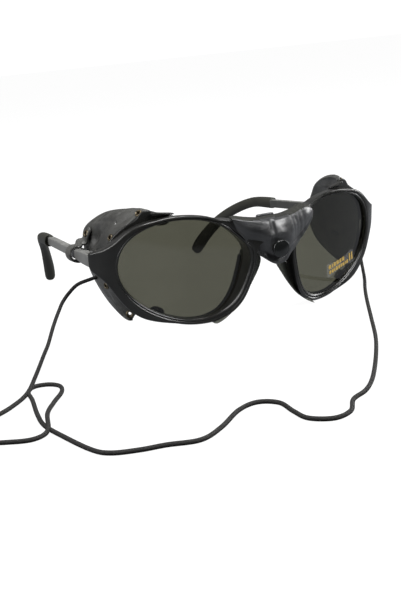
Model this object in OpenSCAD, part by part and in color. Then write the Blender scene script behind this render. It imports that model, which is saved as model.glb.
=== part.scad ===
// Glacier glasses: wrapped frame, dark lenses, leather nose cover, leather side shields, neck cord.
// The front faces -Y, the temples run to +Y, and z = 0 is the table that rims and tips stand on.
// Left and right are the wearer's: left is +X.

/* [Front] */
// Width over the two hinges
hinge_span = 140; // [138:0.5:142]
// Half width of a lens opening
lens_a = 24.2; // [23.5:0.1:24.5]
// Half height of a lens opening
lens_b = 21; // [20.2:0.1:21.2]
// Distance from the middle of the face to the middle of a lens
lens_x = 36.6; // [36.3:0.1:37]
// Turn of the lens outline, outer end up
lens_turn = 12; // [10:0.5:14]
// Width of the rim around a lens
rim_w = 2.5; // [2.3:0.1:2.7]
// Lean of the face, top forward
face_lean = 9; // [8:0.5:10]
// Height of the lens middle above the table
lens_z = 24.6; // [24.4:0.1:24.8]
// Radius of the wrap around the face
wrap_r = 143.5; // [140:0.5:147]
// How far the nose part stands forward of the wrap
nose_rise = 11.9; // [11:0.1:12.5]

/* [Lens] */
// Thickness of a lens
lens_t = 2; // [1.8:0.1:2.2]
// Depth of the groove that holds the lens
groove = 1; // [0.8:0.1:1.2]
// Play between a lens and its groove
lens_play = 0.06; // [0.04:0.01:0.1]

/* [Temples] */
// Inward splay of a temple
splay = 6.4; // [6:0.1:6.8]
// Length of the bare temple bar from hinge to sleeve
bar_len = 74; // [72:0.5:75]
// Height of the bar at the hinge
block_h = 5.4; // [5:0.1:5.6]
// Height of the bar at the sleeve
bar_h = 4; // [3.6:0.1:4.2]
// Thickness of the bar at the sleeve
bar_w = 3.4; // [3:0.1:3.6]

/* [Hinge] */
// Diameter of the hinge screw
screw_d = 1.4; // [1.2:0.1:1.6]
// Diameter of the hinge knuckles
knuckle_d = 3.8; // [3.6:0.1:4]
// Radial play of the screw in its bores
screw_play = 0.03; // [0.02:0.01:0.05]

/* [Leather] */
// Thickness of the side shield leather
shield_t = 1.5; // [1.2:0.1:1.7]
// Thickness of the nose leather
cover_t = 1.3; // [1.1:0.1:1.4]
// Width of the strap loop around a temple
strap_w = 5.2; // [4.8:0.1:5.4]

/* [Cord] */
// Diameter of the neck cord
cord_d = 1.6; // [1.4:0.1:1.8]

/* [Hidden] */
$fn = 48;

// Everything is drawn with y = 0 at the wrap, then moved back to the middle of the box.
mid_y = -71.1;

black = "#1b1c1a";
soft_black = "#2b2c28";
grey = "#73736e";
leather = "#5c5d59";
brass = "#8a7a55";
smoke = "#3f3f38";

// ---- the face: a curved plate leaning forward ----
egg_power = 2 / 2.2;
egg_taper = 0.15;
// The opening is fuller towards the top of the nose: growth, angle and spread of that corner.
nose_corner = [1.5, 157, 17];
nose_w = 19.3;
lens_r = 170;
lens_c = [-16.7, 166.6];
rear_gap = 1.6;
hinge_y = 22.6;
hinge_z = 31.9;
half_span = hinge_span / 2;

function power(v, e) = sign(v) * pow(abs(v), e);
function turned(p, a) = [p.x * cos(a) - p.y * sin(a), p.x * sin(a) + p.y * cos(a)];
// Outline of a lens opening grown by k, at the angle t, for the left side.
function egg_raw(t, k) = let (x = (lens_a + k) * power(cos(t), egg_power))
    [x, (lens_b + k) * power(sin(t), egg_power) * (1 - egg_taper * x / lens_a)];
function egg(t, k) = let (more = nose_corner[0] * exp(-pow((t - nose_corner[1]) / nose_corner[2], 2)))
    [lens_x, 0] + turned(egg_raw(t, k + more), lens_turn);
// The rim is thinner above the lens than below it.
function rim_edge(t, k) = k - 0.5 * sin(t);
// Front and rear surface of the frame, and front surface of the lens, seen from above.
function front_y(x) = wrap_r - sqrt(wrap_r * wrap_r - x * x) - nose_rise * exp(-pow(x / nose_w, 2))
    + 4.5 * pow(max(0, abs(x) - 60) / 10, 2);
function shell_y(x, r) = lens_c.y - sqrt(r * r - pow(abs(x) - lens_c.x, 2));
function rear_y(x) = shell_y(x, lens_r - lens_t - rear_gap) - 7 * exp(-pow(x / 9, 2));
// From the leaning face to the table's frame.
function to_table(p) = [p.x,
    p.y * cos(face_lean) - p.z * sin(face_lean) + mid_y,
    p.y * sin(face_lean) + p.z * cos(face_lean) + lens_z];

module placed() { translate([0, mid_y, 0]) children(); }
module face() { translate([0, mid_y, lens_z]) rotate([face_lean, 0, 0]) children(); }
module along_y(y0, y1) { translate([0, y1, 0]) rotate([90, 0, 0]) linear_extrude(y1 - y0) children(); }
module along_z(z0, z1) { translate([0, 0, z0]) linear_extrude(z1 - z0) children(); }
module sided(side) { mirror([side < 0 ? 1 : 0, 0, 0]) children(); }
module both() { for (side = [-1, 1]) sided(side) children(); }

module egg_2d(k, n = 48) { polygon([for (i = [0:n - 1]) egg(360 * i / n, k)]); }
module rim_2d(k, n = 48) { polygon([for (i = [0:n - 1]) let (t = 360 * i / n) egg(t, rim_edge(t, k))]); }
// Part of a ring around a lens, between growths k0 and k1 and angles t0 and t1.
module arc_2d(k0, k1, t0, t1, n = 20) {
    polygon(concat([for (i = [0:n]) egg(t0 + (t1 - t0) * i / n, k1)],
                   [for (i = [0:n]) egg(t1 - (t1 - t0) * i / n, k0)]));
}
// Strip seen from above between front_y + d0 and rear_y + d1.
module plan_2d(d0, d1, x1, n = 40) {
    polygon(concat([for (i = [0:n]) let (x = -x1 + 2 * x1 * i / n) [x, front_y(x) + d0]],
                   [for (i = [0:n]) let (x = x1 - 2 * x1 * i / n) [x, rear_y(x) + d1]]));
}
module front_strip_2d(d0, d1, x1, n = 24) {
    polygon(concat([for (i = [0:n]) let (x = -x1 + 2 * x1 * i / n) [x, front_y(x) + d0]],
                   [for (i = [0:n]) let (x = x1 - 2 * x1 * i / n) [x, front_y(x) + d1]]));
}
module rear_strip_2d(d0, d1, x0, x1, n = 16) {
    polygon(concat([for (i = [0:n]) let (x = x0 + (x1 - x0) * i / n) [x, rear_y(x) + d0]],
                   [for (i = [0:n]) let (x = x1 - (x1 - x0) * i / n) [x, rear_y(x) + d1]]));
}

// The end piece flares from the rim to the hinge.
web_pts = [[40, 20], [50, 21], [54, 18.9], [57.8, 16.4], [60.6, 13.8], [63.6, 10.9], [67, 8.6],
           [71, 6.6], [71, 1.2], [68, -1.6], [64.8, -5.4], [62.5, -9.5], [59.8, -14],
           [56.2, -18.2], [51.5, -21.3], [46, -23], [40, -22]];
bridge_pts = [[-20, 20], [-10, 18.3], [0, 17.4], [10, 18.3], [20, 20], [20, 4], [-20, 4]];

module web_2d() {
    intersection() {
        polygon(web_pts);
        translate([lens_x, -30]) square([half_span + 0.2 - lens_x, 60]);
    }
}
module bridge_2d() {
    difference() {
        polygon(bridge_pts);
        translate([0, -0.3]) circle(13);
    }
}
module front_2d() {
    both() rim_2d(rim_w);
    both() web_2d();
    bridge_2d();
}
module lens_shell(r, t) {
    translate([lens_c.x, lens_c.y, -30]) difference() {
        cylinder(r = r, h = 60);
        translate([0, 0, -1]) cylinder(r = r - t, h = 62);
    }
}

// ---- hinge ----
pin_x = 66.2;
pin_y = 24.9;
knuckle_gap = 0.15;
knuckle_z = [28.4, 30.9, 33.0, 35.0];

module knuckle(z0, z1) { translate([pin_x, pin_y, z0]) cylinder(d = knuckle_d, h = z1 - z0); }
module screw_bore(z0, z1) {
    translate([pin_x, pin_y, z0]) cylinder(d = screw_d + 2 * screw_play, h = z1 - z0);
}
module frame_knuckles() {
    for (span = [[knuckle_z[0], knuckle_z[1]], [knuckle_z[2], knuckle_z[3]]]) {
        knuckle(span[0], span[1]);
        translate([pin_x - 1.6, 18.5, span[0]]) cube([3.2, pin_y - 18.5, span[1] - span[0]]);
    }
}

module front_frame() color(black) difference() {
    union() {
        face() intersection() {
            along_y(-20, 30) front_2d();
            along_z(-30, 30) plan_2d(0, 0, half_span);
        }
        placed() both() frame_knuckles();
    }
    face() both() along_y(-20, 30) egg_2d(0);
    face() both() intersection() {
        along_y(-20, 30) egg_2d(groove + lens_play);
        lens_shell(lens_r + lens_play, lens_t + 2 * lens_play);
    }
    translate([-100, -100, -10]) cube([200, 200, 10]);
    placed() both() screw_bore(20, 40);
    placed() both() translate([pin_x - 3.5, 22.7, 20]) difference() {
        cube([12, 8, 20]);
        translate([1.9, -1, -1]) cube([3.2, 10, 22]);
    }
    placed() both() translate([pin_x, pin_y, knuckle_z[1]])
        cylinder(r = 2.25, h = knuckle_z[2] - knuckle_z[1]);
}

module lens(side) color(smoke, 0.75) face() sided(side) intersection() {
    along_y(-20, 30) egg_2d(groove);
    lens_shell(lens_r, lens_t);
}
module lens_right() { lens(-1); }
module lens_left() { lens(1); }

// Clear film label with plain gold bars, on the outer lower part of the left lens.
module lens_sticker() color("#c9a648") face() intersection() {
    along_y(-20, 30) egg_2d(-0.4);
    along_y(-20, 30) translate([43.6, -12.6]) rotate(9) square([20, 6.5], center = true);
    lens_shell(lens_r + 0.3, 0.25);
}

// ---- nose ----
// Soft wedge from the rim towards the nose; it opens towards the face, and its seat lies behind the rim.
pad_pts = [[2.9, 0.8], [4.1, -2.6], [6.4, -6.6], [8.9, -10.7], [11.3, -14.5], [14, -17.3], [16.4, -18.6],
           [18, -14], [16, -4], [14, 5], [10.5, 7.4], [6.4, 6.2], [3.8, 3.8]];
pad_front = -3.4;
pad_rear = 6;
pad_shear = 0.35;
pad_seat = 3.7;
module nose_pad(side) color(soft_black) face() sided(side) {
    difference() {
        multmatrix([[1, pad_shear, 0, -pad_shear * pad_front], [0, 1, 0, 0], [0, 0, 1, 0], [0, 0, 0, 1]])
            along_y(pad_front, pad_rear) polygon(pad_pts);
        along_y(-20, 30) rim_2d(rim_w + 0.05);
        along_y(-20, 30) offset(0.05) bridge_2d();
    }
    along_y(pad_seat, pad_rear) intersection() {
        translate([5, -12]) square([9.5, 13]);
        difference() {
            rim_2d(rim_w + 0.1);
            egg_2d(0.6);
        }
    }
}
module nose_pad_right() { nose_pad(-1); }
module nose_pad_left() { nose_pad(1); }

// Leather folded over the bridge: front tongue, roof and rear flap.
cover_gap = 0.25;
tongue_pts = [[-18.5, 20.6], [-19, 17.5], [-16.6, 13.5], [-12.5, 8], [-8.5, 4.6], [-5, 2.2],
              [-2, 0.6], [2, 0.6], [5, 2.2], [8.5, 4.6], [12.5, 8], [16.6, 13.5], [19, 17.5],
              [18.5, 20.6], [10, 19], [0, 18.1], [-10, 19]];
roof_pts = [[-15, 19], [15, 19], [15, 21.4], [10, 20.2], [0, 19.2], [-10, 20.2], [-15, 21.4]];
// Side view of the rear flap: down behind the bridge, forward under it, then down at the snap.
flap_y = -7.9;
flap_pts = [[-3.6, 18.6], [-3.6, 11.7], [flap_y, 11.7], [flap_y, 1], [flap_y + cover_t, 1],
            [flap_y + cover_t, 10.4], [-2.3, 10.4], [-2.3, 18.6]];
flap_w = 8;
snap_z = 7.9;

module roof_2d() {
    difference() {
        polygon(roof_pts);
        both() rim_2d(rim_w + cover_gap);
        translate([0, cover_gap]) polygon(bridge_pts);
    }
}
module nose_cover() color(leather) face() difference() {
    union() {
        intersection() {
            along_y(-20, 30) polygon(tongue_pts);
            along_z(-30, 30) front_strip_2d(-cover_gap - cover_t, -cover_gap, 19.5);
        }
        intersection() {
            along_y(-20, -1.5) roof_2d();
            along_z(-30, 30) front_strip_2d(-cover_gap - cover_t, 6, 16);
        }
        intersection() {
            along_y(-20, -2.3) roof_2d();
            along_z(-30, 30) front_strip_2d(-cover_gap - cover_t, 14, flap_w / 2);
        }
        rotate([90, 0, 90]) translate([0, 0, -flap_w / 2]) linear_extrude(flap_w) polygon(flap_pts);
    }
    snap_axis() cylinder(d = 2.4, h = 30, center = true);
}
// The snap stands square to the tongue, under the bridge.
module snap_axis() {
    translate([0, front_y(0), snap_z]) rotate([90, 0, 0]) children();
}
snap_front = cover_gap + cover_t;
// Depth of the rear flap's outer face behind the wrap.
snap_rear = flap_y + cover_t - front_y(0);
module snap_cap() color(black) face() snap_axis() {
    translate([0, 0, snap_front + 0.05]) rotate_extrude() {
        square([3.7, 0.8]);
        translate([0, 0.8]) square([3.2, 0.4]);
    }
    translate([0, 0, -1]) cylinder(d = 2.3, h = snap_front + 1.3);
}
module snap_socket() color(grey) face() snap_axis() translate([0, 0, -1.9]) difference() {
    cylinder(d = 6, h = 1.7);
    translate([0, 0, 0.85]) cylinder(d = 2.34, h = 5);
    translate([0, 0, -1]) cylinder(d = 3.2, h = 1.8);
}
module snap_stud() color(grey) face() snap_axis() difference() {
    union() {
        translate([0, 0, -snap_rear + cover_t + 0.05]) cylinder(d = 6, h = 0.9);
        translate([0, 0, -snap_rear + cover_t + 0.5]) cylinder(d = 3.1, h = 2.2);
    }
    translate([0, 0, -10]) cylinder(d = 1.64, h = 9);
}
module snap_post() color(black) face() snap_axis() {
    translate([0, 0, -snap_rear - 0.85]) cylinder(d = 4.4, h = 0.8);
    translate([0, 0, -snap_rear - 0.1]) cylinder(d = 1.6, h = 2.4);
}

// ---- side shields ----
// u runs from the top corner (0) to the bottom corner (1), v from the rim (0) to the free edge (1).
function shield_angle(u) = 66 - 138 * u;
// Growth over the lens opening at the rim, and how much further the leather swells just behind it.
function shield_corner(u) = pow(abs(2 * u - 1), 1.6);
function shield_grow(u) = 0.8 + (u < 0.5 ? 5 : 2.4) * shield_corner(u);
function shield_swell(u) = (u < 0.5 ? 0 : 5) * shield_corner(u);
function shield_front(u, w) = let (e = egg(shield_angle(u), shield_grow(u) + shield_swell(u) * w))
    to_table([e.x, rear_y(e.x) + 1.5, e.y]);
function shield_turn(u) = 90 - 180 * u;
// The free edge is a D: full above the temple and tucked in below it.
function shield_rear(u) = let (a = shield_turn(u), c = max(cos(a), 0), up = a > 0)
    [49.8 + 7.8 * pow(c, 0.6) + 4.6 * u * u, 19 + 37.6 * pow(c, up ? 1 : 1.9) + mid_y,
     33 + (up ? 18.2 : 28.6) * sin(a)];
function shield_out(u) = let (a = shield_turn(u)) [cos(a), 0, sin(a)];
function shield_bulge(u) = 1.6 * (cos(shield_turn(u)) + 0.35 * pow(1 - u, 4));
function shield_at(u, v, d) = shield_front(u, 1 - pow(1 - v, 5)) + (shield_rear(u) - shield_front(u, 1)) * v
    + shield_out(u) * (shield_bulge(u) * sin(180 * v) + d);
// Near the corners the two directions of the sheet run together, so the normal is taken further in.
function between(s, low, high) = min(max(s, low), high);
function shield_normal(u0, v0) = let (u = between(u0, 0.1, 0.93), v = between(v0, 0.02, 0.85), e = 0.01,
    n = cross(shield_at(u, v + e, 0) - shield_at(u, v - e, 0), shield_at(u - e, v, 0) - shield_at(u + e, v, 0)))
    n / norm(n);
shield_nu = 26;
shield_nv = 12;
function grid_id(i, j, layer) = layer * (shield_nu + 1) * (shield_nv + 1) + i * (shield_nv + 1) + j;
shield_pts = [for (layer = [0, 1]) for (i = [0:shield_nu]) for (j = [0:shield_nv])
    let (u = i / shield_nu, v = j / shield_nv)
    shield_at(u, v, 0) - shield_normal(u, v) * layer * shield_t];
shield_faces = concat(
    [for (i = [0:shield_nu - 1]) for (j = [0:shield_nv - 1])
        each [[grid_id(i, j, 0), grid_id(i + 1, j, 0), grid_id(i + 1, j + 1, 0)],
              [grid_id(i, j, 0), grid_id(i + 1, j + 1, 0), grid_id(i, j + 1, 0)],
              [grid_id(i, j, 1), grid_id(i + 1, j + 1, 1), grid_id(i + 1, j, 1)],
              [grid_id(i, j, 1), grid_id(i, j + 1, 1), grid_id(i + 1, j + 1, 1)]]],
    [for (i = [0:shield_nu - 1]) for (e = [[0, 1], [shield_nv, -1]])
        each e[1] > 0 ? [[grid_id(i, 0, 0), grid_id(i, 0, 1), grid_id(i + 1, 0, 1)],
                         [grid_id(i, 0, 0), grid_id(i + 1, 0, 1), grid_id(i + 1, 0, 0)]]
                      : [[grid_id(i, e[0], 0), grid_id(i + 1, e[0], 1), grid_id(i, e[0], 1)],
                         [grid_id(i, e[0], 0), grid_id(i + 1, e[0], 0), grid_id(i + 1, e[0], 1)]]],
    [for (j = [0:shield_nv - 1])
        each [[grid_id(0, j, 0), grid_id(0, j + 1, 1), grid_id(0, j, 1)],
              [grid_id(0, j, 0), grid_id(0, j + 1, 0), grid_id(0, j + 1, 1)],
              [grid_id(shield_nu, j, 0), grid_id(shield_nu, j, 1), grid_id(shield_nu, j + 1, 1)],
              [grid_id(shield_nu, j, 0), grid_id(shield_nu, j + 1, 1), grid_id(shield_nu, j + 1, 0)]]]);
// Places of the four vent eyelets, of the strap eyelet and of the cord hole, as [u, v].
vent_spots = [[0.07, 0.08], [0.335, 0.11], [0.71, 0.26], [0.95, 0.27]];
strap_spot = [0.38, 0.78];
cord_spot = [0.645, 0.56];
eyelet_d = 3.4;
eyelet_hole = 1.6;

// Children stand on the leather with +Z outward.
module at_spot(spot, d) {
    n = shield_normal(spot[0], spot[1]);
    translate(shield_at(spot[0], spot[1], 0) + n * d)
        rotate([0, acos(n.z), atan2(n.y, n.x)]) children();
}
module shield(side) color(leather) sided(side) difference() {
    polyhedron(shield_pts, shield_faces);
    for (spot = concat(vent_spots, [strap_spot, cord_spot])) at_spot(spot, 0)
        cylinder(d = 2.4, h = 8, center = true);
}
module shield_right() { shield(-1); }
module shield_left() { shield(1); }

// A ring with a flange outside the leather and a rolled end inside it.
module eyelet(grip) {
    difference() {
        union() {
            translate([0, 0, 0.4]) cylinder(d = eyelet_d, h = 0.4);
            translate([0, 0, -grip]) cylinder(d = 2.3, h = grip + 0.6);
        }
        translate([0, 0, -10]) cylinder(d = eyelet_hole, h = 20);
    }
}
module shield_eyelets(side) color(brass) sided(side) for (spot = vent_spots)
    at_spot(spot, 0) eyelet(shield_t + 0.3);
module shield_eyelets_right() { shield_eyelets(-1); }
module shield_eyelets_left() { shield_eyelets(1); }

// The clip lies behind the rim: a band, a hook over the rim and a tab over the lens at each end.
module clip_2d() {
    arc_2d(0.5, 3.6, -86, 78);
    arc_2d(0.6, 4.5, 60, 78);
    arc_2d(0.6, 4.5, -84, -66);
    arc_2d(-2.4, 0.6, 64, 76);
    arc_2d(-2.4, 0.6, -86, -74);
}
module shield_clip(side) color(black) sided(side) face() intersection() {
    along_y(-20, 40) clip_2d();
    along_z(-30, 30) rear_strip_2d(0.1, 1.3, 30, 64);
}
module shield_clip_right() { shield_clip(-1); }
module shield_clip_left() { shield_clip(1); }

// ---- temples ----
// Frame of a left temple: origin at the outer face of the hinge seam, +Y along the bar.
module temple_frame() {
    translate([half_span, hinge_y + mid_y, hinge_z]) rotate([-0.9, 0, 0]) rotate([0, 0, splay]) children();
}
core_len = 12;
bar_plan = [[-0.2, 0.5], [0, 1.2], [0, bar_len], [-0.7, bar_len + 0.1], [-0.7, bar_len + core_len],
            [-bar_w + 0.7, bar_len + core_len], [-bar_w + 0.7, bar_len + 0.1], [-bar_w, bar_len],
            [-bar_w, 24], [-4.3, 13], [-4.4, 4.7], [-1.5, 4.7], [-1.5, 0.5]];
bar_side = [[0.5, block_h / 2], [13, block_h / 2], [24, bar_h / 2], [bar_len, bar_h / 2],
            [bar_len + 0.1, bar_h / 2 - 0.7], [bar_len + core_len, bar_h / 2 - 0.7],
            [bar_len + core_len, -bar_h / 2 + 0.7], [bar_len + 0.1, -bar_h / 2 + 0.7],
            [bar_len, -bar_h / 2], [24, -bar_h / 2], [13, -block_h / 2], [0.5, -block_h / 2]];

module temple(side) color(grey) sided(side) difference() {
    union() {
        temple_frame() intersection() {
            along_z(-10, 10) polygon(bar_plan);
            rotate([90, 0, 90]) translate([0, 0, -10]) linear_extrude(20) polygon(bar_side);
        }
        placed() {
            knuckle(knuckle_z[1] + knuckle_gap, knuckle_z[2] - knuckle_gap);
            translate([pin_x - 0.4, pin_y, knuckle_z[1] + knuckle_gap])
                cube([2.6, 3.6, knuckle_z[2] - knuckle_z[1] - 2 * knuckle_gap]);
        }
    }
    placed() screw_bore(20, 40);
    placed() for (z = [[20, knuckle_z[1] + knuckle_gap], [knuckle_z[2] - knuckle_gap, 40]])
        translate([pin_x, pin_y, z[0]]) cylinder(r = 2.15, h = z[1] - z[0]);
}
module temple_right() { temple(-1); }
module temple_left() { temple(1); }

module hinge_screw(side) color(grey) sided(side) placed() translate([pin_x, pin_y, 0]) difference() {
    union() {
        translate([0, 0, knuckle_z[0] - 0.3]) cylinder(d = screw_d, h = knuckle_z[3] - knuckle_z[0] + 0.4);
        translate([0, 0, knuckle_z[3] + 0.02]) cylinder(d = 2.6, h = 0.7);
    }
    translate([-2, -0.2, knuckle_z[3] + 0.4]) cube([4, 0.4, 1]);
}
module hinge_screw_right() { hinge_screw(-1); }
module hinge_screw_left() { hinge_screw(1); }

// ---- swept tubes ----
function unit(v) = v / norm(v);
function along(p, i) = unit(p[min(i + 1, len(p) - 1)] - p[max(i - 1, 0)]);
// Rings of n points, w wide and h high, square to the path.
function ring(p, i, w, h, n) = let (t = along(p, i), s = unit(cross(t, [0, 0, 1])), up = cross(s, t))
    [for (k = [0:n - 1]) p[i] + s * cos(360 * (k + 0.5) / n) * w / 2 + up * sin(360 * (k + 0.5) / n) * h / 2];
module tube(p, w, h, n) {
    m = len(p);
    polyhedron([for (i = [0:m - 1]) each ring(p, i, w[i], h[i], n)],
        concat([[for (k = [0:n - 1]) k]],
               [for (i = [0:m - 2]) for (k = [0:n - 1]) let (a = i * n + k, b = i * n + (k + 1) % n)
                   each [[a, a + n, b + n], [a, b + n, b]]],
               [[for (k = [n - 1:-1:0]) (m - 1) * n + k]]));
}

// Soft sleeve: straight over the end of the bar, then down and inward to a flat round tip.
sleeve_path = [for (p = [[60.8, 96.6, 30.8], [60.6, 97.4, 30.8], [59.8, 104, 30.8], [58.9, 111, 30.5],
    [57.7, 117, 29.5], [55.6, 124, 27.3], [53, 131, 24.2], [50.2, 138, 20], [47.6, 144.5, 15],
    [45.4, 150, 9.8], [43.9, 154, 5.4], [43.1, 156.5, 2.4], [42.8, 157.4, 1.3]]) p + [0, mid_y, 0]];
sleeve_w = [4.2, 4.9, 4.9, 4.7, 4.4, 4, 3.8, 3.9, 4.4, 4.9, 5, 4.2, 2.6];
sleeve_h = [4.8, 5.6, 5.5, 5.2, 5.1, 5.1, 5.2, 5.5, 5.9, 6.2, 6, 4.8, 3];

module temple_tip(side) color(soft_black) sided(side) difference() {
    tube(sleeve_path, sleeve_w, sleeve_h, 16);
    temple_frame() translate([-bar_w / 2, bar_len - 1, 0])
        cube([bar_w - 1.4 + 0.1, 2 * core_len + 2.2, bar_h - 1.4 + 0.1], center = true);
}
module temple_tip_right() { temple_tip(-1); }
module temple_tip_left() { temple_tip(1); }

// ---- strap: a loop around the temple and a tail up to the strap eyelet ----
strap_y = 48.6;
strap_t = 1.3;
loop_c = [65.4, 31.5];
loop_r = 4.25;
module loop_2d() {
    difference() {
        translate(loop_c) circle(loop_r);
        translate(loop_c) circle(loop_r - strap_t);
    }
}
tail_w = strap_w - 0.8;
module tail() {
    hull() {
        at_spot(strap_spot, 0.1 + strap_t / 2) cube([4.6, tail_w, strap_t - 0.1], center = true);
        at_spot(strap_spot, 0.1 + strap_t / 2) translate([2.9, 0, 0.1])
            cube([0.2, tail_w, strap_t - 0.1], center = true);
    }
    hull() {
        at_spot(strap_spot, 0.1 + strap_t / 2) translate([2.9, 0, 0.1])
            cube([0.2, tail_w, strap_t - 0.1], center = true);
        placed() translate([loop_c.x - 0.6, strap_y - strap_w / 2, loop_c.y + loop_r - strap_t + 0.1])
            cube([0.6, strap_w, strap_t - 0.2]);
    }
}
module strap(side) color(leather) sided(side) difference() {
    union() {
        placed() along_y(strap_y - strap_w / 2, strap_y + strap_w / 2) loop_2d();
        tail();
    }
    at_spot(strap_spot, 0) cylinder(d = 2.4, h = 14, center = true);
    at_spot(strap_spot, strap_t + 0.3) cylinder(d = eyelet_d + 0.2, h = 4);
}
module strap_right() { strap(-1); }
module strap_left() { strap(1); }
module strap_eyelet(side) color(brass) sided(side) at_spot(strap_spot, strap_t)
    eyelet(strap_t + shield_t + 0.3);
module strap_eyelet_right() { strap_eyelet(-1); }
module strap_eyelet_left() { strap_eyelet(1); }

// ---- neck cord ----
lie = cord_d / 2 + 0.05;
// A stop knot inside each shield; the cord leaves through a hole in the leather.
knot_d = 3.6;
function cord_hole(d) = shield_at(cord_spot[0], cord_spot[1], 0)
    + shield_normal(cord_spot[0], cord_spot[1]) * d;
function other_side(p) = [-p.x, p.y, p.z];
cord_floor = [for (p = [
    [-69, 41.6, 19.3], [-72.9, 43, 16], [-76.6, 41.8, 12.9], [-79.8, 38, 10.7], [-82.8, 34, 8.7],
    [-87, 28, 5.7], [-92.6, 19, 1.9], [-98.4, 8, lie],
    [-111, -19, lie], [-121, -39, lie], [-131, -51, lie], [-142, -60, lie], [-150, -70, lie],
    [-149, -80, lie], [-142, -86, lie], [-135, -88.5, lie], [-129, -84, 1], [-125, -73, 2.9],
    [-117, -56, lie], [-110.5, -46, lie], [-108.5, -38.5, lie], [-111, -33.5, lie], [-116, -32.5, lie],
    [-120, -37.5, lie], [-122, -48, lie],
    [-126, -65, lie], [-128, -78, lie], [-127, -92, lie], [-124.5, -110, lie], [-121, -117, lie],
    [-113, -120.5, lie], [-105, -122, lie], [-95, -125, lie], [-85, -119, lie], [-73, -108, lie],
    [-64.5, -105, lie], [-59.5, -110.5, lie], [-60.5, -121, lie], [-60.5, -130, lie], [-54.5, -135.5, lie],
    [-47, -133, lie], [-40, -124, lie], [-32, -119, lie], [-24, -111, lie], [-13, -97, lie],
    [0, -79, lie], [10, -64, lie], [24, -41, lie], [41, -13, lie], [53, 6, lie], [63, 21, lie],
    [71, 34, 2.6], [73.5, 40, 9.5], [71, 40.5, 17]]) p + [0, mid_y, 0]];
cord_route = concat([for (d = [-shield_t - 0.9, 0, 2.6]) other_side(cord_hole(d))], cord_floor,
                    [for (d = [2.6, 0, -shield_t - 0.9]) cord_hole(d)]);
// Smooth curve through the route, three rings for each two points.
function bend(p, s) = let (i = min(floor(s), len(p) - 2), f = s - i, a = p[max(i - 1, 0)], b = p[i],
    c = p[i + 1], d = p[min(i + 2, len(p) - 1)])
    b + 0.5 * f * ((c - a) + f * ((2 * a - 5 * b + 4 * c - d) + f * (3 * (b - c) + d - a)));
cord_rings = 80;
cord_curve = [for (i = [0:cord_rings]) let (p = bend(cord_route, i * (len(cord_route) - 1) / cord_rings))
    [p.x, p.y, max(p.z, lie)]];

module cord() color(black)
    tube(cord_curve, [for (p = cord_curve) cord_d], [for (p = cord_curve) cord_d], 8);
module cord_knot(side) color(black) sided(side) translate(cord_hole(-shield_t - knot_d / 2 - 0.3))
    sphere(d = knot_d);
module cord_knot_right() { cord_knot(-1); }
module cord_knot_left() { cord_knot(1); }

front_frame();
lens_right();
lens_left();
lens_sticker();
nose_pad_right();
nose_pad_left();
nose_cover();
snap_cap();
snap_socket();
snap_stud();
snap_post();
shield_clip_right();
shield_clip_left();
shield_right();
shield_left();
shield_eyelets_right();
shield_eyelets_left();
strap_right();
strap_left();
strap_eyelet_right();
strap_eyelet_left();
hinge_screw_right();
hinge_screw_left();
temple_right();
temple_left();
temple_tip_right();
temple_tip_left();
cord_knot_right();
cord_knot_left();
cord();
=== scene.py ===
"""Glacier glasses: the looks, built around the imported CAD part. Sizes are in millimetres until a mesh is made."""
import math

import bmesh
import bpy
from mathutils import Matrix, Vector, noise


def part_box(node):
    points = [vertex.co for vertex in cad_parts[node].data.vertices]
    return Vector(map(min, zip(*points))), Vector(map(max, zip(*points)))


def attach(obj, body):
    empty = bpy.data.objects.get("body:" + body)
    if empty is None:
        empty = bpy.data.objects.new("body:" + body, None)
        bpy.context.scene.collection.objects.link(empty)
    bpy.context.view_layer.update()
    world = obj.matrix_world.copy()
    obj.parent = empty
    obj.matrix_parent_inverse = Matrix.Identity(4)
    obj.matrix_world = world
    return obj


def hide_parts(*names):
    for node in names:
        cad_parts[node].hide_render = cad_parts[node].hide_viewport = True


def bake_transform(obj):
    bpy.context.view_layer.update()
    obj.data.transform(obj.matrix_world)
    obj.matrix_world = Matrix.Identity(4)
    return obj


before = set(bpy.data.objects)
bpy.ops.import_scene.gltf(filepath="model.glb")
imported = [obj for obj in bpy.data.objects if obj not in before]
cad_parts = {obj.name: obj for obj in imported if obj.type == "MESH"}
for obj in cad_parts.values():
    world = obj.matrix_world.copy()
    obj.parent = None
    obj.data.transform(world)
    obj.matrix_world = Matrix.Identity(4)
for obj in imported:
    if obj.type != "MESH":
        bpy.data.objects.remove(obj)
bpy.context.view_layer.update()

MM = 0.001

# ---- the design, as in the CAD part: wearer's left is +X, the front faces -Y ----
LENS_A, LENS_B, LENS_X, LENS_TURN = 24.2, 21.0, 36.6, math.radians(12)
RIM_W, FACE_LEAN, LENS_Z = 2.5, math.radians(9), 24.6
WRAP_R, NOSE_RISE, NOSE_W = 143.5, 11.9, 19.3
LENS_R, LENS_T, LENS_C = 170.0, 2.0, (-16.7, 166.6)
REAR_GAP = 1.6
HALF_SPAN, HINGE_Y, HINGE_Z = 70.0, 22.6, 31.9
PIN_X, PIN_Y = 66.2, 24.9
SPLAY, BAR_FALL = math.radians(6.4), math.radians(-0.9)
SHIELD_T = 1.5
CORD_D = 1.6

screw_low, screw_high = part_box("hinge_screw_left")
MID_Y = round((screw_low.y + screw_high.y) / 2 / MM - PIN_Y, 2)


def power(v, e):
    return math.copysign(abs(v) ** e, v)


def mix(a, b, f):
    return a + (b - a) * f


def clamp(v, low=0.0, high=1.0):
    return max(low, min(high, v))


def smooth(v):
    v = clamp(v)
    return v * v * (3 - 2 * v)


def bump(v, centre, width):
    """A soft hill of height 1 around centre."""
    return math.exp(-(((v - centre) / width) ** 2))


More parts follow.
